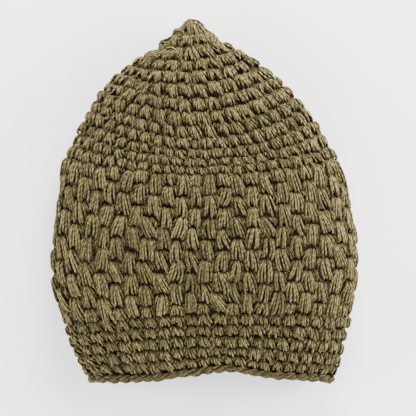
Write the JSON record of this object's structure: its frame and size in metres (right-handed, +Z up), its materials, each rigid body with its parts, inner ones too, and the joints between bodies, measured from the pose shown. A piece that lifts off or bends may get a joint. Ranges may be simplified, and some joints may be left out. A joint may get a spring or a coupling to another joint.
{
  "type": "kufi cap",
  "caption": "Crocheted kufi cap with a pointed crown, a band of staggered bean stitches and a chain-edged rim, lying flat on its back.",
  "frame": {"origin": "on the floor, under the middle of the lying cap's box", "axes": "+Z up from the floor and out of the cap's front, +Y from the mouth to the point of the crown, +X to the right fold as seen from above with the point away from the viewer"},
  "size_m": [0.2296, 0.2738, 0.0442],
  "materials": {
    "yarn": "matt two-ply olive-brown yarn"
  },
  "bodies": {
    "root": {"crown": "yarn", "bean_band": "yarn", "brim": "yarn", "rim_edging": "yarn"}
  },
  "joints": []
}
